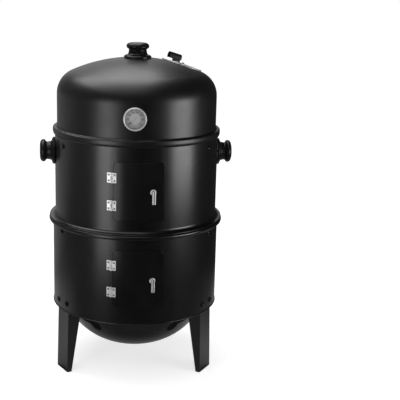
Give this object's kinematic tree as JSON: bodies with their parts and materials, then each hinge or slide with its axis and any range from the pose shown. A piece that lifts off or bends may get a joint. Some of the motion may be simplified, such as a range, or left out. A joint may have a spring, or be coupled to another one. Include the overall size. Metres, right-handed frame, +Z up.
{
  "type": "vertical water smoker",
  "caption": "Upright round charcoal smoker on legs: domed lid with a damper disc and a thermometer, stacked chambers with hinged doors and latches, and a charcoal bowl in its foot.",
  "frame": {"origin": "on the floor under the barrel's axis", "axes": "+Z up, doors and thermometer towards -Y, damper towards +X"},
  "size_m": [0.4622, 0.42, 0.7829],
  "materials": {
    "satin_black_paint": "satin black heat-resistant paint",
    "black_enamel": "glossy black enamel",
    "black_plastic": "glossy black phenolic",
    "bright_steel": "bright zinc plate",
    "nickel_plate": "nickel plate",
    "dark_fasteners": "black zinc",
    "zinc_steel": "zinc plate",
    "dial_face": "satin grey dial print",
    "dial_lens": "clear glass",
    "pointer_paint": "red paint with a dark tip"
  },
  "bodies": {
    "base": {"fire_chamber": "satin_black_paint", "leg_front_right": "satin_black_paint", "leg_rear": "satin_black_paint", "leg_front_left": "satin_black_paint", "leg_bolts": "dark_fasteners", "leg_nuts": "zinc_steel", "lower_brackets": "zinc_steel", "lower_bracket_bolts": "dark_fasteners", "lower_bracket_nuts": "zinc_steel", "fire_hinge_upper_leaf": "bright_steel", "fire_hinge_lower_leaf": "bright_steel", "fire_hinge_rivets": "bright_steel", "fire_hinge_pins": "bright_steel"},
    "fire_door_body": {"fire_door": "satin_black_paint", "fire_door_upper_leaf": "bright_steel", "fire_door_lower_leaf": "bright_steel", "fire_door_rivets": "bright_steel"},
    "fire_latch": {"fire_latch_lever": "nickel_plate", "fire_latch_cam": "nickel_plate", "fire_latch_nut": "nickel_plate"},
    "bowl": {"charcoal_bowl": "black_enamel"},
    "pan": {"water_pan": "black_enamel"},
    "grate_below": {"lower_grate": "nickel_plate"},
    "middle": {"food_chamber": "satin_black_paint", "side_handle_right": "black_plastic", "side_handle_left": "black_plastic", "side_handle_bolts": "zinc_steel", "upper_brackets": "zinc_steel", "upper_bracket_bolts": "dark_fasteners", "upper_bracket_nuts": "zinc_steel", "food_hinge_upper_leaf": "bright_steel", "food_hinge_lower_leaf": "bright_steel", "food_hinge_rivets": "bright_steel", "food_hinge_pins": "bright_steel"},
    "food_door_body": {"food_door": "satin_black_paint", "food_door_upper_leaf": "bright_steel", "food_door_lower_leaf": "bright_steel", "food_door_rivets": "bright_steel"},
    "food_latch": {"food_latch_lever": "nickel_plate", "food_latch_cam": "nickel_plate", "food_latch_nut": "nickel_plate"},
    "grate_above": {"upper_grate": "nickel_plate"},
    "lid_body": {"lid": "satin_black_paint", "lid_knob": "black_plastic", "lid_knob_bolt": "zinc_steel", "thermometer_case": "nickel_plate", "thermometer_dial": "dial_face", "thermometer_lens": "dial_lens", "thermometer_stem": "zinc_steel", "thermometer_nut": "zinc_steel", "damper_rivet": "nickel_plate"},
    "pointer": {"thermometer_pointer": "pointer_paint"},
    "damper": {"damper_disc": "nickel_plate", "damper_grip": "black_plastic", "damper_grip_rivet": "nickel_plate"}
  },
  "joints": [
    {"name": "food_chamber_lift", "type": "slide", "parent": "base", "child": "middle", "axis": [0, 0, 1], "range_m": [0, 0.1]},
    {"name": "lid_lift", "type": "slide", "parent": "middle", "child": "lid_body", "axis": [0, 0, 1], "range_m": [0, 0.12]},
    {"name": "food_door_hinge", "type": "hinge", "parent": "middle", "child": "food_door_body", "pos_m": [-0.05491, -0.19013, 0.4663], "axis": [0, 0, -1], "range_deg": [0, 105]},
    {"name": "fire_door_hinge", "type": "hinge", "parent": "base", "child": "fire_door_body", "pos_m": [-0.05473, -0.19538, 0.263], "axis": [0, 0, -1], "range_deg": [0, 105]},
    {"name": "food_latch_turn", "type": "hinge", "parent": "food_door_body", "child": "food_latch", "pos_m": [0.03818, -0.19281, 0.467], "axis": [0.1942, -0.981, 0], "range_deg": [0, 90]},
    {"name": "fire_latch_turn", "type": "hinge", "parent": "fire_door_body", "child": "fire_latch", "pos_m": [0.03915, -0.19771, 0.2605], "axis": [0.1942, -0.981, 0], "range_deg": [0, 90]},
    {"name": "damper_turn", "type": "hinge", "parent": "lid_body", "child": "damper", "pos_m": [0.10653, 0.02855, 0.7331], "axis": [0.2818, 0.0755, 0.9565], "range_deg": [0, 30]},
    {"name": "pointer_turn", "type": "hinge", "parent": "lid_body", "child": "pointer", "pos_m": [-0.00398, -0.18996, 0.6321], "axis": [0.0209, 0.9998, 0], "range_deg": [0, 262]},
    {"name": "upper_grate_lift", "type": "slide", "parent": "middle", "child": "grate_above", "axis": [0, 0, 1], "range_m": [0, 0.06]},
    {"name": "lower_grate_lift", "type": "slide", "parent": "base", "child": "grate_below", "axis": [0, 0, 1], "range_m": [0, 0.06]},
    {"name": "water_pan_lift", "type": "slide", "parent": "base", "child": "pan", "axis": [0, 0, 1], "range_m": [0, 0.012]},
    {"name": "charcoal_bowl_lift", "type": "slide", "parent": "base", "child": "bowl", "axis": [0, 0, 1], "range_m": [0, 0.025]}
  ]
}
